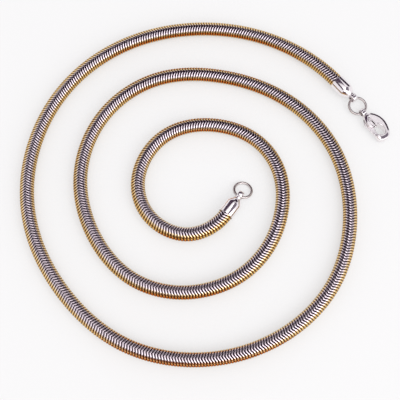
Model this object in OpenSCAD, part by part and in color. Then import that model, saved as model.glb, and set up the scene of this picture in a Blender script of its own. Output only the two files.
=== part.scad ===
// Snake chain necklace with two end caps, two jump rings and a lobster clasp.
// It lies unfastened on a table as a flat spiral. Millimetres, +Z up.
// The origin is the middle of its outline, on the table.

/* [Chain] */
// Outer diameter of the chain
chain_d = 4; // [3:0.1:4.6]
// Length of chain that is held inside each end cap
chain_in_cap = 2.4; // [1.5:0.1:2.8]

/* [End caps] */
// Radial gap between the chain and the cap's cup
chain_fit = 0.05; // [0.02:0.01:0.1]
// Thickness of the cup's wall
cap_wall = 0.2; // [0.15:0.05:0.4]
// Length of the cap's straight cup
cup_len = 3.6; // [3:0.1:6]
// Length of the cap's tapered shoulder
shoulder_len = 2.4; // [1.5:0.1:4]
// Diameter of the shoulder's small end
neck_d = 1.8; // [1.4:0.1:2.2]

/* [Loops that the jump rings pass through] */
// Width of the hole in a loop
loop_hole = 1.6; // [1.55:0.05:1.8]
// Extra height of the cap loop's hole, which is a slot
loop_rise = 0.8; // [0.4:0.1:1]
// Metal around the hole
loop_wall = 0.4; // [0.3:0.05:0.5]
// Thickness of a loop along its hole
loop_thick = 1.4; // [1.2:0.1:1.5]

/* [Jump rings] */
// Outer diameter of each jump ring
ring_d = 5.65; // [5.2:0.05:6.6]
// Diameter of the ring's wire
wire_d = 0.75; // [0.6:0.05:0.8]
// Gap left between a ring's wire and the loop that it hangs on
ring_gap = 0.05; // [0.02:0.01:0.08]

/* [Clasp claw] */
// Length of the claw without its loop
claw_len = 9.3; // [8.6:0.1:11]
// Width of the claw over its rounded back and hook
claw_w = 5.3; // [5:0.1:6]
// Thickness of the claw
claw_t = 2.6; // [2.5:0.1:3.2]
// Radius of the claw's rounded edges
claw_edge = 0.7; // [0.3:0.1:0.8]
// Length of the window inside the hook
window_len = 3.6; // [3:0.1:3.8]
// Width of the window inside the hook
window_w = 2.4; // [2:0.1:2.5]

/* [Clasp lever] */
// Thickness of the lever
lever_t = 1.1; // [0.8:0.1:1.3]
// Gap between the lever and each cheek of the claw
cheek_gap = 0.08; // [0.05:0.01:0.12]
// Distance from the hinge pin to the end of the gate
gate_reach = 4.75; // [4.6:0.05:4.85]
// Gap between the end of the gate and the hook's tip
gate_gap = 0.15; // [0.1:0.01:0.2]
// Width of the gate at its end
gate_w = 0.7; // [0.5:0.05:0.9]
// Radius of the thumb tab
tab_r = 1.4; // [1.2:0.05:1.5]

/* [Hinge pin] */
// Diameter of the hinge pin
pin_d = 0.8; // [0.6:0.05:1]
// Radial gap between the pin and the lever
pin_running = 0.05; // [0.02:0.01:0.08]
// Radial gap between the pin and the cheeks
pin_seat = 0.02; // [0.01:0.01:0.03]

/* [Hidden] */

$fn = 48;

// Points that pull the chain's line into its spiral, from the clasp end inwards.
chain_route = [
    [49, 11], [39, 32.5], [19.5, 46.5], [-3.5, 50], [-25.5, 44.5], [-42.5, 30],
    [-51, 9], [-50, -13], [-38.5, -33], [-21.5, -47], [0.5, -50], [20.5, -43.5],
    [35.5, -29], [40.5, -8.5], [37, 11.5], [23.5, 27], [4.5, 34], [-15, 34],
    [-30.5, 22.5], [-37, 4.5], [-33.5, -13], [-22.5, -28], [-6, -32.5], [10.5, -27],
    [20, -14], [22, 2.5], [14, 15], [-1, 19], [-14, 15], [-21, 2],
    [-17.5, -10.5], [-5.5, -17], [6.5, -10], [8.5, 2]];
route_spans = len(chain_route) - 3;
chain_sides = 12;
// Sections of each half of the chain, and the spans over which its ends rise into the caps.
half_steps = 38;
rise_spans = 1;

chain_r = chain_d / 2;
bore_r = chain_r + chain_fit;
cap_r = bore_r + cap_wall;
cup_depth = chain_in_cap + chain_fit;
hole_r = loop_hole / 2;
wire_r = wire_d / 2;
ring_r = ring_d / 2 - wire_r;
// A ring's wire curves away from a straight line by this much within a loop's thickness.
wire_bow = ring_r - sqrt(ring_r * ring_r - loop_thick * loop_thick / 4);
// Distance from the cup's mouth to the middle of the cap's loop.
cap_loop_x = cup_len + shoulder_len + hole_r + ring_gap;

// Turn of the inner ring and of the clasp's ring line against the piece that each hangs on.
inner_ring_turn = 12;
clasp_ring_turn = -7;
clasp_turn = 4;

// How far the wire can shift in a loop, and how far it lies to one side there: towards
// the ring's middle where it is pulled, and away from it where it is pushed.
play = hole_r - wire_r - ring_gap;
side_share = 0.35;
pulled = side_share * play - wire_bow / 2;
pushed = -side_share * play - wire_bow / 2;
// The wire lies low in each loop's round hole, as far down as its reach to the side lets it.
function wire_drop(turn) = 0.85
    * sqrt(play * play - pow(side_share * play + wire_bow / 2 + loop_thick / 2 * tan(turn), 2));
cap_hole_z = cap_r - loop_rise / 2;
outer_wire_z = cap_hole_z - wire_drop(abs(clasp_ring_turn));
inner_wire_z = cap_hole_z - wire_drop(abs(inner_ring_turn));
clasp_wire_z = claw_t / 2 - wire_drop(abs(clasp_turn));

// A point of the smooth curve that four route points pull, for u from 0 to 1.
function pull(a, b, c, d, u) =
    (a * pow(1 - u, 3) + b * (3 * pow(u, 3) - 6 * u * u + 4)
        + c * (3 * u + 3 * u * u - 3 * pow(u, 3) + 1) + d * pow(u, 3)) / 6;
function route_at(t) =
    let (i = min(floor(t), route_spans - 1))
    pull(chain_route[i], chain_route[i + 1], chain_route[i + 2], chain_route[i + 3], t - i);
function route_dir(t) =
    let (v = route_at(min(t + 0.01, route_spans)) - route_at(max(t - 0.01, 0)))
    v / norm(v);
function ease(x) = x <= 0 ? 0 : x >= 1 ? 1 : x * x * (3 - 2 * x);
// Height of the chain's middle: it lies on the table and rises a little into each cap.
function chain_z(t) =
    chain_r + (cap_r - chain_r) * ease(1 - min(t, route_spans - t) / rise_spans);
function turn_of(v) = atan2(v[1], v[0]);
function along(from, turn, far) = [from[0] + far * cos(turn), from[1] + far * sin(turn)];

// Places and headings of the fittings, each worked out from the one before it.
outer_mouth = route_at(0);
outer_turn = turn_of(-route_dir(0));
inner_mouth = route_at(route_spans);
inner_turn = turn_of(route_dir(route_spans));
outer_wire = along(outer_mouth, outer_turn, cap_loop_x + pulled);
inner_wire = along(inner_mouth, inner_turn, cap_loop_x + pushed);
outer_ring_tilt = asin((outer_wire_z - clasp_wire_z) / (2 * ring_r));
inner_ring_tilt = asin((inner_wire_z - wire_r) / (2 * ring_r));
ring_line = outer_turn + clasp_ring_turn;
clasp_wire = along(outer_wire, ring_line, 2 * ring_r * cos(outer_ring_tilt));
clasp_heading = ring_line + clasp_turn;
clasp_loop = along(clasp_wire, clasp_heading, pulled);

// The claw's outline from above, as shares of its length and width, from its base round
// the lever's side to the hook's end and back along the rounded back.
claw_outline = [
    [0, 0], [0.04, -0.31], [0.25, -0.47], [0.49, -0.45], [0.73, -0.49], [0.94, -0.54],
    [1.02, -0.21], [1, 0.23], [0.8, 0.39], [0.54, 0.54], [0.3, 0.48], [0.08, 0.26]];
outline_steps = 6;
// The claw's base lies over a part of its loop's wall, and its middle line stands off the
// loop's by a share of its width, as the window's and the hinge's do.
base_lap = 0.25;
claw_x = hole_r + loop_wall - base_lap;
claw_y = 0.09 * claw_w;
window_y = 0.02 * claw_w;
pin_y = -0.07 * claw_w;
// Places along the claw, from its end backwards: metal beyond the window, and metal that
// the hook's tip has beyond the gate.
hook_wall = 1.3;
tip_len = 2.25;
claw_end = claw_x + claw_len;
window_x = claw_end - hook_wall - window_len / 2;
pin_x = claw_end - tip_len - gate_reach;
// Radius of the cheeks' rounded ends about the hinge, up to the window's near end.
cheek_r = window_x - window_len / 2 - pin_x;
// The thumb tab stands off the hinge towards the hook and out of the claw's side, and the
// gate's outer edge ends lower still.
tab_x = pin_x + 0.5;
tab_y = pin_y - 0.6;
tab_lip = 0.1;
gate_drop = 1.6;
// The slot leaves room for the tab to turn.
swing_room = 0.35;
slot_back_y = tab_y + tab_r + swing_room;
slot_start_x = tab_x - tab_r - swing_room;
slot_t = lever_t + 2 * cheek_gap;
pin_inset = 0.05;
neck_r = neck_d / 2;
claw_mid = claw_t / 2;
// A length that clears every piece of the clasp, for cuts that run right through.
too_far = 2 * claw_w;

function closed_curve(p, steps) =
    let (n = len(p))
    [for (k = [0 : n * steps - 1]) let (i = floor(k / steps))
        pull(p[i], p[(i + 1) % n], p[(i + 2) % n], p[(i + 3) % n], k / steps - i)];
function inset(p, d) =
    let (n = len(p))
    [for (k = [0 : n - 1]) let (v = p[(k + 1) % n] - p[(k + n - 1) % n])
        p[k] + [-v[1], v[0]] * d / norm(v)];
function raised(p, z) = [for (q = p) [q[0], q[1], z]];
function oval(x, y, long, wide) =
    [for (a = [0 : 10 : 350]) [x + long / 2 * cos(a), y + wide / 2 * sin(a)]];

// A solid skin over a stack of rings with the same number of points.
module skin(rings) {
    m = len(rings[0]);
    last = (len(rings) - 1) * m;
    sides = [for (i = [0 : len(rings) - 2], k = [0 : m - 1])
        let (a = i * m + k, b = i * m + (k + 1) % m)
        each [[a, a + m, b + m], [a, b + m, b]]];
    ends = [[for (k = [0 : m - 1]) k], [for (k = [m - 1 : -1 : 0]) last + k]];
    polyhedron(points = [for (r = rings) each r], faces = concat(ends, sides));
}

// The chain's round section at a place on its line, square to its heading.
function chain_section(at, z, dir) =
    [for (k = [0 : chain_sides - 1]) let (a = (k + 0.5) * 360 / chain_sides)
        [at[0] - dir[1] * chain_r * cos(a), at[1] + dir[0] * chain_r * cos(a),
            z + chain_r * sin(a)]];
function chain_sections(from, to) =
    [for (k = [0 : half_steps]) let (t = from + (to - from) * k / half_steps)
        chain_section(route_at(t), chain_z(t), route_dir(t))];

module chain_outer() {
    held = outer_mouth - route_dir(0) * chain_in_cap;
    color([0.72, 0.62, 0.42])
    skin(concat([chain_section(held, cap_r, route_dir(0))],
        chain_sections(0, route_spans / 2)));
}

module chain_inner() {
    held = inner_mouth + route_dir(route_spans) * chain_in_cap;
    color([0.72, 0.62, 0.42])
    skin(concat(chain_sections(route_spans / 2, route_spans),
        [chain_section(held, cap_r, route_dir(route_spans))]));
}

// An upright loop whose hole runs along Y. A rise above zero makes the hole a slot.
module upright_loop(rise) {
    module stadium(r, thick) {
        for (z = rise > 0 ? [-rise / 2, rise / 2] : [0])
            translate([0, thick / 2, z]) rotate([90, 0, 0]) cylinder(r = r, h = thick);
        if (rise > 0) translate([-r, -thick / 2, -rise / 2]) cube([2 * r, thick, rise]);
    }
    difference() {
        stadium(hole_r + loop_wall, loop_thick);
        stadium(hole_r, loop_thick + 1);
    }
}

// An end cap with its mouth at the origin and its loop towards +X.
module end_cap() {
    shoulder = [for (u = [0 : 0.125 : 1]) let (x = 0.6 * u * (1 - u) + u * u)
        [neck_r + (cap_r - neck_r) * (1 - u * u), cup_len + shoulder_len * x]];
    difference() {
        rotate([0, 90, 0])
        rotate_extrude() polygon(concat([[0, 0], [cap_r, 0]], shoulder,
            [[0, cup_len + shoulder_len]]));
        translate([-1, 0, 0]) rotate([0, 90, 0]) cylinder(r = bore_r, h = cup_depth + 1);
    }
    translate([cap_loop_x, 0, 0]) upright_loop(loop_rise);
}

module end_cap_outer() {
    color([0.8, 0.8, 0.82])
    translate([outer_mouth[0], outer_mouth[1], cap_r]) rotate([0, 0, outer_turn]) end_cap();
}

module end_cap_inner() {
    color([0.8, 0.8, 0.82])
    translate([inner_mouth[0], inner_mouth[1], cap_r]) rotate([0, 0, inner_turn]) end_cap();
}

// A jump ring whose wire passes through a point, lying away from it and sloping down.
module jump_ring(wire_at, wire_z, turn, tilt) {
    color([0.78, 0.78, 0.8])
    translate([wire_at[0], wire_at[1], wire_z]) rotate([0, 0, turn])
    rotate([0, tilt, 0]) translate([ring_r, 0, 0])
    rotate_extrude() translate([ring_r, 0]) circle(r = wire_r);
}

module jump_ring_outer() {
    jump_ring(outer_wire, outer_wire_z, ring_line, outer_ring_tilt);
}

module jump_ring_inner() {
    jump_ring(inner_wire, inner_wire_z, inner_turn + inner_ring_turn, inner_ring_tilt);
}

// Puts a piece of the clasp, drawn with its loop's middle at the origin, in its place.
module on_clasp() {
    translate([clasp_loop[0], clasp_loop[1], 0]) rotate([0, 0, clasp_heading]) children();
}

// The claw: a rounded body with a window, an upright loop, and a slot for the lever.
module clasp_claw() {
    outline = closed_curve([for (p = claw_outline)
        [claw_x + p[0] * claw_len, claw_y + p[1] * claw_w]], outline_steps);
    edge = [for (a = [0 : 22.5 : 90]) claw_edge * [1 - sin(a), 1 - cos(a)]];
    low = [for (e = edge) raised(inset(outline, e[0]), e[1])];
    high = [for (k = [len(edge) - 1 : -1 : 0])
        raised(inset(outline, edge[k][0]), claw_t - edge[k][1])];
    color([0.8, 0.8, 0.82]) on_clasp()
    union() {
        difference() {
            skin(concat(low, high));
            translate([0, 0, -1]) linear_extrude(claw_t + 2)
                polygon(oval(window_x, window_y, window_len, window_w));
            // The mouth that the gate closes, from the cheeks' rounded ends to the hook's tip
            translate([0, 0, -1]) linear_extrude(claw_t + 2) difference() {
                intersection() {
                    translate([pin_x, pin_y]) circle(r = gate_reach + gate_gap);
                    translate([pin_x, window_y - too_far]) square(too_far);
                }
                translate([pin_x, pin_y]) circle(r = cheek_r);
            }
            // The slot between the cheeks
            translate([slot_start_x, slot_back_y - too_far, claw_mid - slot_t / 2])
                cube([window_x - slot_start_x, too_far, slot_t]);
            translate([pin_x, pin_y, -1]) cylinder(d = pin_d + 2 * pin_seat, h = claw_t + 2);
        }
        translate([claw_x, 0, claw_mid]) rotate([0, 90, 0]) cylinder(r = neck_r, h = neck_r);
        translate([0, 0, claw_mid]) upright_loop(0);
    }
}

// The lever: a thumb tab on the hinge, and the gate that reaches the hook's tip.
module clasp_lever() {
    gate_far = pin_x + gate_reach + gate_w;
    gate_low = pin_y - gate_drop;
    color([0.76, 0.76, 0.78]) on_clasp()
    translate([0, 0, claw_mid - lever_t / 2])
    difference() {
        union() {
            translate([tab_x, tab_y, 0]) cylinder(r = tab_r, h = lever_t);
            intersection() {
                linear_extrude(lever_t) polygon([[tab_x, tab_y - tab_r + tab_lip],
                    [gate_far, gate_low], [gate_far, gate_low + gate_w], [tab_x, pin_y]]);
                translate([pin_x, pin_y, 0]) cylinder(r = gate_reach, h = lever_t);
            }
        }
        translate([pin_x, pin_y, -1]) cylinder(d = pin_d + 2 * pin_running, h = lever_t + 2);
    }
}

module clasp_pin() {
    color([0.72, 0.72, 0.74]) on_clasp()
    translate([pin_x, pin_y, pin_inset]) cylinder(d = pin_d, h = claw_t - 2 * pin_inset);
}

chain_outer();
chain_inner();
end_cap_outer();
end_cap_inner();
jump_ring_outer();
jump_ring_inner();
clasp_claw();
clasp_lever();
clasp_pin();
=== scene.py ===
"""A two-tone snake chain necklace, lying unfastened in a flat spiral."""
import math

import bmesh
import bpy
import numpy as np
from mathutils import Matrix, Vector


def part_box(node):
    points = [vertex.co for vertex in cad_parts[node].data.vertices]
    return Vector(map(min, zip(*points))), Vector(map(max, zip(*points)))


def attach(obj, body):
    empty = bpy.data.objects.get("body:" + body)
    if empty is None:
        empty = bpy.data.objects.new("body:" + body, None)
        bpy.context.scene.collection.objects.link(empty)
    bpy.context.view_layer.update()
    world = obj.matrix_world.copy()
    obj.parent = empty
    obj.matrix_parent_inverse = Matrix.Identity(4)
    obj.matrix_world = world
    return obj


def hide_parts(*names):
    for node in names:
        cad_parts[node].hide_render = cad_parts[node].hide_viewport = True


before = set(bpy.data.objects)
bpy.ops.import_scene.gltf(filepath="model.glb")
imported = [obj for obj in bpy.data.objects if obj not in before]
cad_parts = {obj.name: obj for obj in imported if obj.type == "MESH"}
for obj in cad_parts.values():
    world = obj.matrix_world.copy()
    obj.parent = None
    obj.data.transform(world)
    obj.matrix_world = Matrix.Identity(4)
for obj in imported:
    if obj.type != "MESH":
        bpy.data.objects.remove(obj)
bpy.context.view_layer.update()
MM = 0.001

# The camera
# It looks down on the necklace from 18.5 degrees off the vertical, at the side of the photograph's lower
# edge. The photograph's 400 pixels cover 110.4 mm of the plane of the chain's middle line.
photo_width = 110.4 * MM
look_at = Vector((-2.13, -4.87, 2)) * MM
camera_height_angle = math.radians(71.5)
camera_distance = 229.1 * MM
camera_data = bpy.data.cameras.new("photo_camera")
camera_data.lens = camera_data.sensor_width * camera_distance / photo_width
camera_data.clip_start = 0.01
camera = bpy.data.objects.new("photo_camera", camera_data)
camera.location = look_at + camera_distance * Vector(
    (0, -math.cos(camera_height_angle), math.sin(camera_height_angle)))
camera.rotation_euler = (math.pi / 2 - camera_height_angle, 0, 0)
bpy.context.scene.collection.objects.link(camera)
bpy.context.scene.camera = camera

# The chain's line
# The necklace lies in a spiral of two and three quarter turns, from the clasp's cap inwards. These points, in
# metres, pull the line into place. It rises a little at both ends, where the caps lift it off the table.
chain_route = [
    (0.049, 0.011), (0.039, 0.0325), (0.0195, 0.0465), (-0.0035, 0.05), (-0.0255, 0.0445), (-0.0425, 0.03),
    (-0.051, 0.009), (-0.05, -0.013), (-0.0385, -0.033), (-0.0215, -0.047), (0.0005, -0.05),
    (0.0205, -0.0435), (0.0355, -0.029), (0.0405, -0.0085), (0.037, 0.0115), (0.0235, 0.027),
    (0.0045, 0.034), (-0.015, 0.034), (-0.0305, 0.0225), (-0.037, 0.0045), (-0.0335, -0.013),
    (-0.0225, -0.028), (-0.006, -0.0325), (0.0105, -0.027), (0.02, -0.014), (0.022, 0.0025),
    (0.014, 0.015), (-0.001, 0.019), (-0.014, 0.015), (-0.021, 0.002), (-0.0175, -0.0105),
    (-0.0055, -0.017), (0.0065, -0.01), (0.0085, 0.002)]
route_spans = len(chain_route) - 3
steps_per_span = 40
chain_r = 2 * MM
cap_r = 2.25 * MM
held_length = 2.4 * MM


def pulled(points, u):
    """The point of a smooth curve pulled by four points in a row, at u from 0 to 1 between the inner two."""
    shares = ((1 - u) ** 3, 3 * u ** 3 - 6 * u ** 2 + 4, 3 * u + 3 * u ** 2 - 3 * u ** 3 + 1, u ** 3)
    return np.array(shares) @ np.array(points) / 6


def route_at(t):
    """The point of the chain's line at t, which counts the route's spans."""
    i = min(int(t), route_spans - 1)
    return pulled(chain_route[i:i + 4], t - i)


def route_rise(t):
    """How far the chain's line stands above its height on the table."""
    near_end = max(0, 1 - min(t, route_spans - t))
    return (cap_r - chain_r) * near_end ** 2 * (3 - 2 * near_end)


line_t = np.linspace(0, route_spans, route_spans * steps_per_span + 1)
line = np.array([(*route_at(t), chain_r + route_rise(t)) for t in line_t])
outer_way = (line[0] - line[1]) / np.linalg.norm(line[0] - line[1])
inner_way = (line[-1] - line[-2]) / np.linalg.norm(line[-1] - line[-2])
outer_mouth = Vector(line[0])
inner_mouth = Vector(line[-1])
line = np.vstack([line[0] + outer_way * held_length, line, line[-1] + inner_way * held_length])
line_far = np.concatenate([[0], np.cumsum(np.linalg.norm(np.diff(line[:, :2], axis=0), axis=1))])
line_way = np.gradient(line[:, :2], line_far, axis=0)
line_way /= np.linalg.norm(line_way, axis=1)[:, None]


def lay_on_line(points):
    """Moves points of a straight chain, along +X with +Z up, to their places on the chain's line."""
    far = points[:, 0]
    middle = np.stack([np.interp(far, line_far, line[:, k]) for k in range(3)], axis=1)
    way = np.stack([np.interp(far, line_far, line_way[:, k]) for k in range(2)], axis=1)
    way /= np.linalg.norm(way, axis=1)[:, None]
    left = np.stack([-way[:, 1], way[:, 0], np.zeros(len(way))], axis=1)
    return middle + left * points[:, 1:2] + np.array([0, 0, 1]) * points[:, 2:3]


# The chain's links
# Stamped steel links, plated with gold on both sides, nest into each other and show as fine ribs round a
# tube. The real chain has about 820 of them, and 750 are made here. Each rib is bent back at the sides,
# away from the clasp. The chain's two halves meet in the middle.
rib_pitch = 0.76 * MM
rib_sides = 16
groove_depth = 0.2 * MM
# How far a rib's sides lie back, and how round its bend is on top
rib_sweep = 0.66 * MM
sweep_round = 0.16
# Along one rib, as shares of the pitch and of the groove's depth
rib_profile = [(0, 1), (0.25, 0.1), (0.75, 0.1), (1, 1)]
# In shares of a turn: the chain lies rolled towards the spiral's middle, more so at the far side, and the
# band of bare steel along its top is narrower there
roll = 0.032
roll_growth = 0.02
steel_half = 0.095
steel_taper = 0.013
coil_r = 50 * MM


def turn_mesh(bm, angle, axis):
    """Turns a whole mesh about an axis through the origin."""
    bmesh.ops.rotate(bm, verts=bm.verts, matrix=Matrix.Rotation(angle, 3, axis))


def shift(bm, by):
    """Moves a whole mesh."""
    bmesh.ops.translate(bm, verts=bm.verts, vec=by)


def verts_in(made):
    """The vertices among what an operator made."""
    return [g for g in made["geom"] if isinstance(g, bmesh.types.BMVert)]


def rib_mesh():
    """One rib of straight chain, from the bottom of a groove to the next."""
    bm = bmesh.new()
    bmesh.ops.create_circle(bm, segments=rib_sides, radius=1)
    turn_mesh(bm, math.pi / 2, "Y")
    radius = chain_r - groove_depth
    bmesh.ops.scale(bm, verts=bm.verts, vec=(1, radius, radius))
    edges = list(bm.edges)
    for (x, depth), (next_x, next_depth) in zip(rib_profile, rib_profile[1:]):
        made = bmesh.ops.extrude_edge_only(bm, edges=edges)
        ring = verts_in(made)
        edges = [g for g in made["geom"]
                 if isinstance(g, bmesh.types.BMEdge) and all(v in ring for v in g.verts)]
        grow = (chain_r - next_depth * groove_depth) / (chain_r - depth * groove_depth)
        bmesh.ops.scale(bm, verts=ring, vec=(1, grow, grow))
        bmesh.ops.translate(bm, verts=ring, vec=((next_x - x) * rib_pitch, 0, 0))
    return bm


def new_piece(name, bm, smooth_angle=40):
    """Makes a mesh object of a bmesh, smooth except at edges sharper than the angle."""
    mesh = bpy.data.meshes.new(name)
    bm.to_mesh(mesh)
    bm.free()
    mesh.shade_smooth()
    mesh.set_sharp_from_angle(angle=math.radians(smooth_angle))
    piece = bpy.data.objects.new(name, mesh)
    bpy.context.scene.collection.objects.link(piece)
    return piece


def finished_mesh(piece):
    """Applies a piece's modifiers to its mesh."""
    bpy.context.view_layer.update()
    mesh = bpy.data.meshes.new_from_object(piece.evaluated_get(bpy.context.evaluated_depsgraph_get()))
    piece.modifiers.clear()
    piece.data = mesh
    return mesh


def lay_links(name, first_rib, end_rib):
    """Builds the ribs from one number to another as a straight chain, and lays them on the line."""
    piece = new_piece(name, rib_mesh(), smooth_angle=180)
    ribs = piece.modifiers.new("ribs", "ARRAY")
    ribs.count = end_rib - first_rib
    ribs.use_relative_offset = False
    ribs.use_constant_offset = True
    ribs.constant_offset_displace = (rib_pitch, 0, 0)
    ribs.use_merge_vertices = True
    ribs.merge_threshold = rib_pitch / 100
    mesh = finished_mesh(piece)
    bm = bmesh.new()
    bm.from_mesh(mesh)
    shift(bm, (first_rib * rib_pitch, 0, 0))
    # The turn map counts the ribs along the chain, and across it the distance from the middle of the steel
    # band, whose edges are at 1 and -1
    turn_map = bm.loops.layers.uv.new("turn")
    for face in bm.faces:
        middle = face.calc_center_median()
        side = math.copysign(1, middle.y)
        far_back = np.interp(middle.x, line_far, line[:, 1]) / coil_r
        for loop in face.loops:
            x, y, z = loop.vert.co
            angle = abs(math.atan2(y, z)) * side / (2 * math.pi)
            steel_share = (angle - roll - roll_growth * far_back) / (steel_half - steel_taper * far_back)
            loop[turn_map].uv = (x / rib_pitch, steel_share)
    bmesh.ops.holes_fill(bm, edges=[e for e in bm.edges if e.is_boundary])
    bmesh.ops.recalc_face_normals(bm, faces=bm.faces)
    bm.to_mesh(mesh)
    bm.free()
    points = np.zeros(len(mesh.vertices) * 3)
    mesh.vertices.foreach_get("co", points)
    points = points.reshape(-1, 3)
    side = points[:, 1] ** 2 / (points[:, 1] ** 2 + points[:, 2] ** 2)
    points[:, 0] += rib_sweep * (1 + sweep_round) * side / (side + sweep_round)
    mesh.vertices.foreach_set("co", lay_on_line(points).ravel())
    mesh.update()
    return piece


half_way = np.interp(route_spans / 2, line_t, line_far[1:-1])
middle_rib = round(half_way / rib_pitch)
last_rib = int((line_far[-1] - rib_sweep) / rib_pitch)
links_outer = lay_links("chain_links_outer", 0, middle_rib)
links_inner = lay_links("chain_links_inner", middle_rib, last_rib)


def surface_group(name, **inputs):
    """Starts a node group that puts out a surface's colour, roughness and height.

    Returns it with its inputs, its outputs and the place on the object.
    """
    group = bpy.data.node_groups.new(name, "ShaderNodeTree")
    outputs = {"Color": "NodeSocketColor", "Roughness": "NodeSocketFloat", "Height": "NodeSocketFloat"}
    for direction, sockets in (("INPUT", inputs), ("OUTPUT", outputs)):
        for socket, kind in sockets.items():
            group.interface.new_socket(socket, in_out=direction, socket_type=kind)
    given = group.nodes.new("NodeGroupInput").outputs
    results = group.nodes.new("NodeGroupOutput").inputs
    return group, given, results, group.nodes.new("ShaderNodeTexCoord").outputs["Object"]


def noise(tree, spot, scale, detail=2):
    """Cloudy noise over a surface, at that many clouds to the metre."""
    node = tree.nodes.new("ShaderNodeTexNoise")
    node.inputs["Scale"].default_value = scale
    node.inputs["Detail"].default_value = detail
    tree.links.new(spot, node.inputs["Vector"])
    return node.outputs["Fac"]


def remap(tree, value, start, end, low, high, way="LINEAR"):
    """A value that goes from low to high as another rises from start to end."""
    node = tree.nodes.new("ShaderNodeMapRange")
    node.interpolation_type = way
    for socket, number in (("From Min", start), ("From Max", end), ("To Min", low), ("To Max", high)):
        node.inputs[socket].default_value = number
    tree.links.new(value, node.inputs["Value"])
    return node.outputs["Result"]


def scaled(tree, colour, share):
    """A colour made darker or lighter."""
    node = tree.nodes.new("ShaderNodeVectorMath")
    node.operation = "SCALE"
    tree.links.new(colour, node.inputs["Vector"])
    tree.links.new(share, node.inputs["Scale"])
    return node.outputs["Vector"]


def blend(tree, value, start, end, first, second):
    """Mixes two colours, each a tuple or a socket, as a value rises from start to end."""
    mix = tree.nodes.new("ShaderNodeMix")
    mix.data_type = "RGBA"
    tree.links.new(remap(tree, value, start, end, low=0, high=1, way="SMOOTHSTEP"), mix.inputs["Factor"])
    for name, colour in (("A", first), ("B", second)):
        if isinstance(colour, tuple):
            mix.inputs[name].default_value = colour
        else:
            tree.links.new(colour, mix.inputs[name])
    return mix.outputs["Result"]


# Fine wear, shared by all the metals: dull smudges, a little tarnish and hair-thin scratches that run one way
wear, given, results, spot = surface_group(
    "fine_wear", Tint="NodeSocketColor", Roughness="NodeSocketFloat", Wear="NodeSocketFloat")
smudges = noise(wear, spot, scale=450, detail=4)
dulled = wear.nodes.new("ShaderNodeMath")
dulled.operation = "MULTIPLY_ADD"
wear.links.new(smudges, dulled.inputs[0])
wear.links.new(given["Wear"], dulled.inputs[1])
wear.links.new(given["Roughness"], dulled.inputs[2])
wear.links.new(dulled.outputs[0], results["Roughness"])
tarnish = remap(wear, smudges, start=0.35, end=0.7, low=1, high=0.86)
wear.links.new(scaled(wear, given["Tint"], tarnish), results["Color"])
drawn_out = wear.nodes.new("ShaderNodeMapping")
drawn_out.inputs["Rotation"].default_value = (0, 0, math.radians(40))
drawn_out.inputs["Scale"].default_value = (600, 14000, 9000)
wear.links.new(spot, drawn_out.inputs["Vector"])
wear.links.new(noise(wear, drawn_out.outputs["Vector"], scale=1), results["Height"])


def surface_material(name, group, **values):
    """A material whose colour, roughness and relief come from a group with those values.

    Returns it with its shader's inputs and the group's.
    """
    material = bpy.data.materials.new(name)
    material.use_nodes = True
    tree = material.node_tree
    shader = tree.nodes["Principled BSDF"].inputs
    surface = tree.nodes.new("ShaderNodeGroup")
    surface.node_tree = group
    for socket, value in values.items():
        surface.inputs[socket].default_value = value
    relief = tree.nodes.new("ShaderNodeBump")
    relief.inputs["Strength"].default_value = 0.1
    relief.inputs["Distance"].default_value = 0.01 * MM
    tree.links.new(surface.outputs["Color"], shader["Base Color"])
    tree.links.new(surface.outputs["Roughness"], shader["Roughness"])
    tree.links.new(surface.outputs["Height"], relief.inputs["Height"])
    tree.links.new(relief.outputs["Normal"], shader["Normal"])
    return material, shader, surface.inputs


def metal(name, roughness, wear_amount):
    """A metal with that amount of fine wear. Returns it with the socket for its tint."""
    material, shader, worn = surface_material(name, wear, Roughness=roughness, Wear=wear_amount)
    shader["Metallic"].default_value = 1
    return material, worn["Tint"]


def dress(piece, material):
    """Gives a piece its one material."""
    piece.data.materials.clear()
    piece.data.materials.append(material)


# The plating starts pale beside the steel and is deep gold lower down. The grooves between ribs are darkened
# with painted shade.
# The edges between the tones count along and across the chain as the turn map does.
steel = (0.85, 0.75, 0.8, 1)
pale_gold = (0.97, 0.78, 0.45, 1)
deep_gold = (0.86, 0.53, 0.15, 1)
# Painted shade: the dark colours that stand for the shade in the grooves between ribs, on steel and on gold
steel_groove_shade = (0.026, 0.013, 0.024, 1)
gold_groove_shade = (0.17, 0.075, 0.016, 1)
steel_edge = (0.75, 1.25)
pale_edge = (1.2, 1.8)
groove_shade_edge = (0.18, 0.34)
plate, tint = metal("two_tone_plate", roughness=0.17, wear_amount=0.06)
tree = plate.node_tree
turn_place = tree.nodes.new("ShaderNodeUVMap")
turn_place.uv_map = "turn"
split = tree.nodes.new("ShaderNodeSeparateXYZ")
tree.links.new(turn_place.outputs["UV"], split.inputs[0])
from_top = tree.nodes.new("ShaderNodeMath")
from_top.operation = "ABSOLUTE"
tree.links.new(split.outputs["Y"], from_top.inputs[0])
rib_phase = tree.nodes.new("ShaderNodeMath")
rib_phase.operation = "PINGPONG"
rib_phase.inputs[1].default_value = 0.5
tree.links.new(split.outputs["X"], rib_phase.inputs[0])
gilded = blend(tree, from_top.outputs[0], *pale_edge, pale_gold, deep_gold)
crest_tone = blend(tree, from_top.outputs[0], *steel_edge, steel, gilded)
# Painted shade for the grooves, darker on the steel band and brown on the gold
groove_shade_tone = blend(tree, from_top.outputs[0], *steel_edge, steel_groove_shade, gold_groove_shade)
# Each rib gets painted shade in its groove and keeps the plating's tone on its crest
tree.links.new(blend(tree, rib_phase.outputs[0], *groove_shade_edge, groove_shade_tone, crest_tone), tint)
for piece, node in ((links_outer, "chain_outer"), (links_inner, "chain_inner")):
    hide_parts(node)
    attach(piece, "necklace")
    dress(piece, plate)

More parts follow.
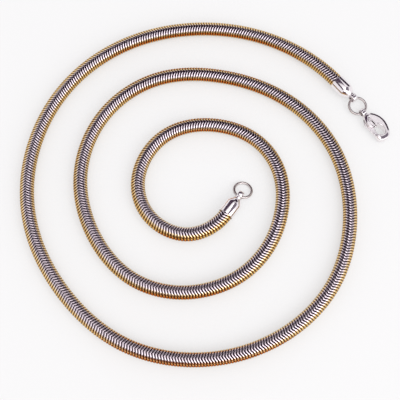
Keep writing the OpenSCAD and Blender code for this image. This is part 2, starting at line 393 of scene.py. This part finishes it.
# The end caps
# A turned and polished steel cup closes each end of the chain. It tapers to a neck, and an upright loop for
# the jump ring is soldered on there. The cup's lip is rounded and the chain's end is glued inside.
cap_wall = 0.2 * MM
cup_depth = 2.45 * MM
cup_length = 3.6 * MM
shoulder_length = 2.4 * MM
shoulder_pull = 0.6
neck_r = 0.9 * MM
loop_hole_r = 0.8 * MM
loop_wall = 0.4 * MM
loop_thick = 1.4 * MM
loop_edge = 0.16 * MM
loop_sides = 40
cap_loop_rise = 0.8 * MM
cap_loop_at = 6.85 * MM

# Polished steel, darkened with painted shade where a piece has creases
polished_tint = (0.95, 0.91, 0.92, 1)
crease_shade_tint = (0.05, 0.04, 0.035, 1)
crease_shade_edge = (0.01, 0.07)
polished_steel, tint = metal("polished_steel", roughness=0.09, wear_amount=0.06)
tree = polished_steel.node_tree
crease = tree.nodes.new("ShaderNodeAttribute")
crease.attribute_name = "crease"
# Painted shade: the steel turns dark where the crease attribute says the skin is hollow
tree.links.new(blend(tree, crease.outputs["Fac"], *crease_shade_edge, polished_tint, crease_shade_tint), tint)


def round_edges(bm, width):
    """Rounds the edges where the faces turn by more than fifty degrees."""
    limit = math.radians(50)
    edges = [e for e in bm.edges if len(e.link_faces) == 2 and e.calc_face_angle() > limit]
    bmesh.ops.bevel(bm, geom=edges, offset=width, offset_type="OFFSET", affect="EDGES", segments=3,
                    profile=0.5, material=-1, clamp_overlap=True)


def add_mesh(bm, part):
    """Moves one bmesh into another."""
    mesh = bpy.data.meshes.new("part")
    part.to_mesh(mesh)
    part.free()
    bm.from_mesh(mesh)
    bpy.data.meshes.remove(mesh)


def add_loop(bm, middle, rise):
    """Adds an upright loop whose hole runs along Y. A rise above zero makes the hole a slot."""
    part = bmesh.new()
    for radius in (loop_hole_r, loop_hole_r + loop_wall):
        bmesh.ops.create_circle(part, segments=loop_sides, radius=radius)
    turn_mesh(part, math.pi / loop_sides, "Z")
    for vert in part.verts:
        vert.co.y += math.copysign(rise / 2, vert.co.y)
    wall = bmesh.ops.bridge_loops(part, edges=part.edges)["faces"]
    far_side = verts_in(bmesh.ops.extrude_face_region(part, geom=wall))
    bmesh.ops.translate(part, verts=far_side, vec=(0, 0, loop_thick))
    shift(part, (0, 0, -loop_thick / 2))
    bmesh.ops.recalc_face_normals(part, faces=part.faces)
    round_edges(part, loop_edge)
    turn_mesh(part, math.pi / 2, "X")
    shift(part, middle)
    add_mesh(bm, part)


def cap_mesh():
    """An end cap with its mouth at the origin and its loop towards +X."""
    bore_r = cap_r - cap_wall
    lip = cap_wall / 2
    outline = [(cup_depth, 0), (cup_depth, bore_r), (lip, bore_r)]
    outline += [(lip - lip * math.sin(a), cap_r - lip - lip * math.cos(a))
                for a in np.linspace(math.pi / 8, math.pi * 7 / 8, 5)]
    outline += [(lip, cap_r), (cup_length, cap_r)]
    for u in np.linspace(0.125, 1, 8):
        outline.append((cup_length + shoulder_length * (shoulder_pull * u * (1 - u) + u * u),
                        neck_r + (cap_r - neck_r) * (1 - u * u)))
    outline.append((cup_length + shoulder_length, 0))
    bm = bmesh.new()
    points = [bm.verts.new((x, 0, r)) for x, r in outline]
    edges = [bm.edges.new(pair) for pair in zip(points, points[1:])]
    bmesh.ops.spin(bm, geom=points + edges, cent=(0, 0, 0), axis=(1, 0, 0), dvec=(0, 0, 0),
                   angle=2 * math.pi, steps=64, use_merge=True)
    bmesh.ops.remove_doubles(bm, verts=bm.verts, dist=MM / 1000)
    bmesh.ops.recalc_face_normals(bm, faces=bm.faces)
    add_loop(bm, (cap_loop_at, 0, 0), cap_loop_rise)
    return bm


def place(bm, at, turn):
    """Turns a mesh about the vertical by an angle in radians and moves it to its place."""
    bmesh.ops.transform(bm, verts=bm.verts, matrix=Matrix.Translation(at) @ Matrix.Rotation(turn, 4, "Z"))


outer_turn = math.atan2(outer_way[1], outer_way[0])
inner_turn = math.atan2(inner_way[1], inner_way[0])
for end, mouth, turn in (("outer", outer_mouth, outer_turn), ("inner", inner_mouth, inner_turn)):
    bm = cap_mesh()
    place(bm, mouth, turn)
    cap = new_piece("cap_" + end, bm, smooth_angle=35)
    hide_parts("end_cap_" + end)
    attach(cap, "necklace")
    dress(cap, polished_steel)

# The jump rings
# Each is a turn of hard drawn steel wire, closed with its cut ends face to face. One joins the clasp to its
# cap, and the other waits at the inner end for the clasp to hook into.
wire_r = 0.375 * MM
ring_r = 2.45 * MM
cut = math.radians(1)
# The cut stands to the side, clear of both loops
cut_side = math.radians(-80)
ring_lines = {"outer": outer_turn - math.radians(7), "inner": inner_turn + math.radians(12)}
drawn_steel, tint = metal("drawn_steel", roughness=0.24, wear_amount=0.1)
tint.default_value = (0.62, 0.57, 0.56, 1)
for end, line_turn in ring_lines.items():
    node = "jump_ring_" + end
    low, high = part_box(node)
    tilt = math.asin((high.z - low.z - 2 * wire_r) / (2 * ring_r))
    bm = bmesh.new()
    bmesh.ops.create_circle(bm, segments=16, radius=wire_r, cap_ends=True)
    turn_mesh(bm, math.pi / 2, "X")
    shift(bm, (ring_r, 0, 0))
    bmesh.ops.spin(bm, geom=bm.faces[:], cent=(0, 0, 0), axis=(0, 0, 1), dvec=(0, 0, 0),
                   angle=2 * math.pi - cut, steps=72)
    bmesh.ops.recalc_face_normals(bm, faces=bm.faces)
    turn_mesh(bm, cut_side, "Z")
    turn_mesh(bm, tilt, "Y")
    place(bm, (low + high) / 2, line_turn)
    ring = new_piece("ring_" + end, bm, smooth_angle=50)
    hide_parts(node)
    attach(ring, "necklace")
    dress(ring, drawn_steel)

# The clasp's claw
# A lobster clasp of cast and polished steel, drawn here with its loop's middle at the origin and its hook
# towards +X. The window and the mouth make the hook, and the slot parts two cheeks that hold the lever.
claw_length = 9.3 * MM
claw_width = 5.3 * MM
claw_thick = 2.6 * MM
claw_base = Vector((0.95, 0.477, 0)) * MM
mid_height = Vector((0, 0, claw_thick / 2))
window_middle = Vector((7.15, 0.106, 0)) * MM
window_length = 3.6 * MM
window_width = 2.4 * MM
pin_at = Vector((3.25, -0.371, 0)) * MM
pin_hole_r = 0.42 * MM
# The mouth runs between two radii about the hinge, and between two angles
cheek_r = 2.1 * MM
mouth_r = 4.9 * MM
mouth_start = math.radians(-95)
mouth_turn = math.radians(101)
slot_thick = 1.26 * MM
slot_start = 2 * MM
slot_back = 0.779 * MM
slot_depth = 2 * claw_width
# The fine line that the casting leaves on its upper face
seam_size = Vector((3.5, 0.3, 0.5)) * MM
seam_middle = Vector((3.9 * MM, 0, claw_thick))
# These points pull the claw's outline, in shares of its length and width
claw_outline = [
    (0, 0), (0.04, -0.31), (0.25, -0.47), (0.49, -0.45), (0.73, -0.49), (0.94, -0.54),
    (1.02, -0.21), (1, 0.23), (0.8, 0.39), (0.54, 0.54), (0.3, 0.48), (0.08, 0.26)]
outline_steps = 96
# Steps inwards and upwards, in millimetres, by which the claw's faces are crowned
crown = [(0.05, 0.28), (0.1, 0.18), (0.55, 0.22), (0.12, 0.03)]


def outline_point(t):
    """The point at t of the claw's closed outline, in metres."""
    i = int(t)
    around = [claw_outline[(i + k) % len(claw_outline)] for k in range(4)]
    x, y = pulled(around, t - i)
    return claw_base.x + x * claw_length, claw_base.y + y * claw_width, 0


def carve(piece, cutter):
    """Cuts a bmesh's shape out of a piece."""
    tool = new_piece("cutter", cutter)
    cut_out = piece.modifiers.new("cut", "BOOLEAN")
    cut_out.operation = "DIFFERENCE"
    cut_out.solver = "EXACT"
    cut_out.object = tool
    finished_mesh(piece)
    bpy.data.objects.remove(tool)


def block(size, middle):
    """A box of that size about its middle."""
    bm = bmesh.new()
    bmesh.ops.create_cube(bm, size=1)
    bmesh.ops.scale(bm, verts=bm.verts, vec=size)
    shift(bm, middle)
    return bm


def rod(radius, length, middle, segments=48):
    """An upright rod about its middle."""
    bm = bmesh.new()
    bmesh.ops.create_cone(bm, cap_ends=True, segments=segments, radius1=radius, radius2=radius, depth=length)
    shift(bm, middle)
    return bm


def polish(piece, voxel, rounds):
    """Melts a casting's parts into one skin of small faces, and rounds its edges as polishing does.

    It also keeps how hollow the skin is at each point, spread a little to its neighbours, as the crease.
    """
    melt = piece.modifiers.new("melt", "REMESH")
    melt.mode = "VOXEL"
    melt.voxel_size = voxel
    mesh = finished_mesh(piece)
    bm = bmesh.new()
    bm.from_mesh(mesh)
    for _ in range(rounds):
        bmesh.ops.smooth_vert(bm, verts=bm.verts, factor=0.5,
                              use_axis_x=True, use_axis_y=True, use_axis_z=True)
    bm.normal_update()
    crease = bm.verts.layers.float.new("crease")
    around = {v: [e.other_vert(v) for e in v.link_edges] for v in bm.verts}
    hollow = {v: (sum((n.co for n in near), Vector()) / len(near) - v.co).dot(v.normal) / voxel
              for v, near in around.items()}
    for _ in range(2):
        hollow = {v: (hollow[v] + sum(hollow[n] for n in near)) / (len(near) + 1)
                  for v, near in around.items()}
    for v in bm.verts:
        v[crease] = hollow[v]
    bm.to_mesh(mesh)
    bm.free()
    mesh.shade_smooth()


bm = bmesh.new()
face = bm.faces.new([bm.verts.new(outline_point(t))
                     for t in np.linspace(0, len(claw_outline), outline_steps, endpoint=False)])
low_side = verts_in(bmesh.ops.extrude_face_region(bm, geom=[face]))
flank = claw_thick - 2 * sum(rise for _, rise in crown) * MM
for verts, level in ((face.verts, flank / 2), (low_side, -flank / 2)):
    bmesh.ops.translate(bm, verts=verts, vec=(0, 0, level))
bmesh.ops.recalc_face_normals(bm, faces=bm.faces)
for end_face in [f for f in bm.faces if len(f.verts) > 4]:
    for inwards, upwards in crown:
        bmesh.ops.inset_region(bm, faces=[end_face], thickness=inwards * MM, depth=upwards * MM,
                               use_even_offset=True)
shift(bm, mid_height)
claw = new_piece("claw", bm)

window = rod(0.5, 2 * claw_thick, (0, 0, 0))
bmesh.ops.scale(window, verts=window.verts, vec=(window_length, window_width, 1))
shift(window, window_middle + mid_height)
carve(claw, window)
mouth = bmesh.new()
bmesh.ops.create_grid(mouth, x_segments=1, y_segments=1, size=0.5)
bmesh.ops.scale(mouth, verts=mouth.verts, vec=(mouth_r - cheek_r, 2 * claw_thick, 1))
turn_mesh(mouth, math.pi / 2, "X")
shift(mouth, ((mouth_r + cheek_r) / 2, 0, claw_thick / 2))
turn_mesh(mouth, mouth_start, "Z")
bmesh.ops.spin(mouth, geom=mouth.faces[:], cent=(0, 0, 0), axis=(0, 0, 1), dvec=(0, 0, 0),
               angle=mouth_turn, steps=24)
bmesh.ops.recalc_face_normals(mouth, faces=mouth.faces)
shift(mouth, pin_at)
carve(claw, mouth)
carve(claw, block((window_middle.x - slot_start, slot_depth, slot_thick),
                  ((window_middle.x + slot_start) / 2, slot_back - slot_depth / 2, claw_thick / 2)))
carve(claw, rod(pin_hole_r, 2 * claw_thick, pin_at + mid_height))
carve(claw, block(seam_size, seam_middle))
bm = bmesh.new()
bm.from_mesh(claw.data)
neck = rod(neck_r, neck_r, (0, 0, 0))
turn_mesh(neck, math.pi / 2, "Y")
shift(neck, (claw_base.x + neck_r / 2, 0, claw_thick / 2))
add_mesh(bm, neck)
add_loop(bm, mid_height, 0)
bm.to_mesh(claw.data)
bm.free()
polish(claw, voxel=0.09 * MM, rounds=5)

# The clasp hangs from its ring, three degrees off the cap's line, and its pin stands where the solid's does
pin_low, pin_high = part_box("clasp_pin")
pin_place = (pin_low + pin_high) / 2
pin_place.z = 0
clasp_turn = outer_turn - math.radians(3)
on_clasp = (Matrix.Translation(pin_place) @ Matrix.Rotation(clasp_turn, 4, "Z")
            @ Matrix.Translation(-pin_at))
claw.data.transform(on_clasp)
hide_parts("clasp_claw")
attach(claw, "necklace")
dress(claw, polished_steel)

# The clasp's lever
# A flat lever of stamped and polished steel turns on the pin between the cheeks. Its round tab stands out
# for the thumb, and its gate reaches the hook's tip.
lever_thick = 1.1 * MM
gate_reach = 4.75 * MM
gate_sides = (math.radians(-20), math.radians(-9.3))
tab_r = 1.4 * MM
tab_at = pin_at + Vector((0.5, -0.6, 0)) * MM
gate_inset = 0.1 * MM
lever_hole_r = 0.45 * MM
bm = bmesh.new()
corners = [(tab_at.x, pin_at.y), (tab_at.x, tab_at.y - tab_r + gate_inset)]
corners += [(pin_at.x + gate_reach * math.cos(a), pin_at.y + gate_reach * math.sin(a))
            for a in np.linspace(*gate_sides, 5)]
gate = bm.faces.new([bm.verts.new((x, y, (claw_thick - lever_thick) / 2)) for x, y in corners])
upper_side = verts_in(bmesh.ops.extrude_face_region(bm, geom=[gate]))
bmesh.ops.translate(bm, verts=upper_side, vec=(0, 0, lever_thick))
bmesh.ops.recalc_face_normals(bm, faces=bm.faces)
lever = new_piece("lever", rod(tab_r, lever_thick, tab_at + mid_height, 64))
carve(lever, rod(lever_hole_r, 2 * claw_thick, pin_at + mid_height))
bm.from_mesh(lever.data)
bm.to_mesh(lever.data)
bm.free()
polish(lever, voxel=0.07 * MM, rounds=4)
lever.data.transform(on_clasp)
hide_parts("clasp_lever")
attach(lever, "lever")
dress(lever, polished_steel)

# The clasp's pin
# A short polished steel pin is pressed through both cheeks and the lever. Its ends are domed over just
# below the cheeks' faces.
pin_r = 0.4 * MM
pin_inset = 0.05 * MM
pin_dome = 0.12 * MM
bm = rod(pin_r, claw_thick - 2 * pin_inset, mid_height, 32)
round_edges(bm, pin_dome)
shift(bm, pin_at)
bmesh.ops.transform(bm, verts=bm.verts, matrix=on_clasp)
pin = new_piece("pin", bm, smooth_angle=50)
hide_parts("clasp_pin")
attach(pin, "necklace")
dress(pin, polished_steel)

# The table
# A plain sheet of white paper. It glows slightly here, so that it stays as pale as in the photograph, and
# its fibres give it a faint grain.
sheet_half = 3
paper, given, results, spot = surface_group("paper_grain", Shade="NodeSocketColor")
fibres = noise(paper, spot, scale=2500)
mottle = remap(paper, fibres, start=0, end=1, low=0.96, high=1.04)
paper.links.new(scaled(paper, given["Shade"], mottle), results["Color"])
paper.links.new(remap(paper, fibres, start=0, end=1, low=0.82, high=0.98), results["Roughness"])
paper.links.new(fibres, results["Height"])


def sheet_material(name, shade, glow, shine):
    """Matt paper or card of that shade."""
    material, shader, _ = surface_material(name, paper, Shade=(*shade, 1))
    shader["Specular IOR Level"].default_value = shine
    shader["Emission Color"].default_value = (1, 1, 1, 1)
    shader["Emission Strength"].default_value = glow
    return material


def set_stage(name, bm, material):
    """Makes a mesh object with one material, not attached to the necklace."""
    mesh = bpy.data.meshes.new(name)
    bm.to_mesh(mesh)
    bm.free()
    mesh.materials.append(material)
    thing = bpy.data.objects.new(name, mesh)
    bpy.context.scene.collection.objects.link(thing)
    return thing


bm = bmesh.new()
bmesh.ops.create_grid(bm, x_segments=1, y_segments=1, size=sheet_half)
set_stage("table_top", bm, sheet_material("white_sheet", (0.3, 0.3, 0.3), glow=0.52, shine=0.5))


# The softboxes and the tent
# A large softbox hangs above the near side of the table, and a smaller one stands lower down at the near
# right. A pale tent all round gives the rest of the light.
def softbox(name, at, side, power):
    """A square light at that place in metres, which faces the necklace."""
    data = bpy.data.lights.new(name, "AREA")
    data.shape = "SQUARE"
    data.size = side
    data.energy = power
    light = bpy.data.objects.new(name, data)
    light.location = at
    light.rotation_euler = Vector(at).to_track_quat("Z", "Y").to_euler()
    bpy.context.scene.collection.objects.link(light)


softbox("key_softbox", at=(0.3, -0.55, 1.3), side=1.7, power=10.5)
softbox("low_softbox", at=(0.85, -0.8, 0.75), side=1, power=6.5)
world = bpy.data.worlds.new("light_tent")
world.use_nodes = True
world.node_tree.nodes["Background"].inputs["Color"].default_value = (1, 0.97, 1, 1)
world.node_tree.nodes["Background"].inputs["Strength"].default_value = 0.95
bpy.context.scene.world = world
bpy.context.scene.view_settings.view_transform = "Standard"


# The cards
# Matt cards stand round the necklace, as photographers of jewellery set them. The dark ones draw dark lines
# along the polished metal, and the amber one deepens the gold at the front. Only reflections show them.
def add_card(name, bm, shade):
    """Stands a matt card where only reflections in the metal show it."""
    board = set_stage(name, bm, sheet_material(name, shade, glow=0, shine=0))
    board.visible_camera = False
    board.visible_diffuse = False
    board.visible_shadow = False


def level_corners(left, right, near, far, z):
    """The corners of a level card, in millimetres."""
    return [(left, near, z), (right, near, z), (right, far, z), (left, far, z)]


def upright_corners(start, end, low, high):
    """The corners of an upright card over a line on the table, in millimetres."""
    return [(*start, low), (*end, low), (*end, high), (*start, high)]


# The far card leans over the necklace. Its corners are given across and upwards, in millimetres.
far_outline = ((-110, 110), (-35, 35), (50, 35), (50, 105), (20, 120), (-110, 240))
far_foot = 87.5
far_lean = 0.278
leaning_corners = [(x, far_foot - far_lean * z, z) for x, z in far_outline]
for name, corners, shade in (
        ("far_card", leaning_corners, (0.065, 0.042, 0.068)),
        ("left_card", level_corners(-165, -70, -130, 150, 200), (0.085, 0.058, 0.085)),
        ("clasp_card", upright_corners((66, 141), (144, 76), 22, 105), (0.035, 0.02, 0.038)),
        ("near_card", upright_corners((-50, -135), (50, -135), 5, 100), (0.11, 0.07, 0.075)),
        ("amber_card", upright_corners((-70, -75), (40, -75), 1, 14), (0.36, 0.09, 0.015)),
        ("right_card", level_corners(60, 210, -90, 70, 140), (0.18, 0.15, 0.19))):
    bm = bmesh.new()
    bm.faces.new([bm.verts.new(Vector(corner) * MM) for corner in corners])
    add_card(name, bm, shade)

# The warm strip
# A strip of amber card lies on the table beside the chain, wherever its flank turns to the front, and
# deepens the gold there. It keeps clear of the caps.
strip_gap = 3.1 * MM
strip_width = 8 * MM
strip_height = 0.03 * MM
cap_clearance = 10 * MM
# How nearly the flank faces the front where the strip starts, and how much nearer at its full width
strip_starts = 0.78
strip_grows = 0.17
front_way = np.stack([-line_way[:, 1], line_way[:, 0]], axis=1)
front_way *= -np.sign(front_way[:, 1:2])
facing = np.clip((-front_way[:, 1] - strip_starts) / strip_grows, 0, 1)
from_caps = np.clip(np.minimum(line_far, line_far[-1] - line_far) / cap_clearance - 1, 0, 1)
widths = strip_width * facing * from_caps
bm = bmesh.new()
edges = []
for middle, way, width in zip(line[:, :2], front_way, widths):
    if width > 0:
        sides = [middle + way * (strip_gap + d) for d in (0, width)]
        edges.append([bm.verts.new((*side, strip_height)) for side in sides])
    else:
        edges.append(None)
for first, second in zip(edges, edges[1:]):
    if first and second:
        bm.faces.new((*first, second[1], second[0]))
bmesh.ops.recalc_face_normals(bm, faces=bm.faces)
add_card("front_strip", bm, (0.45, 0.15, 0.03))
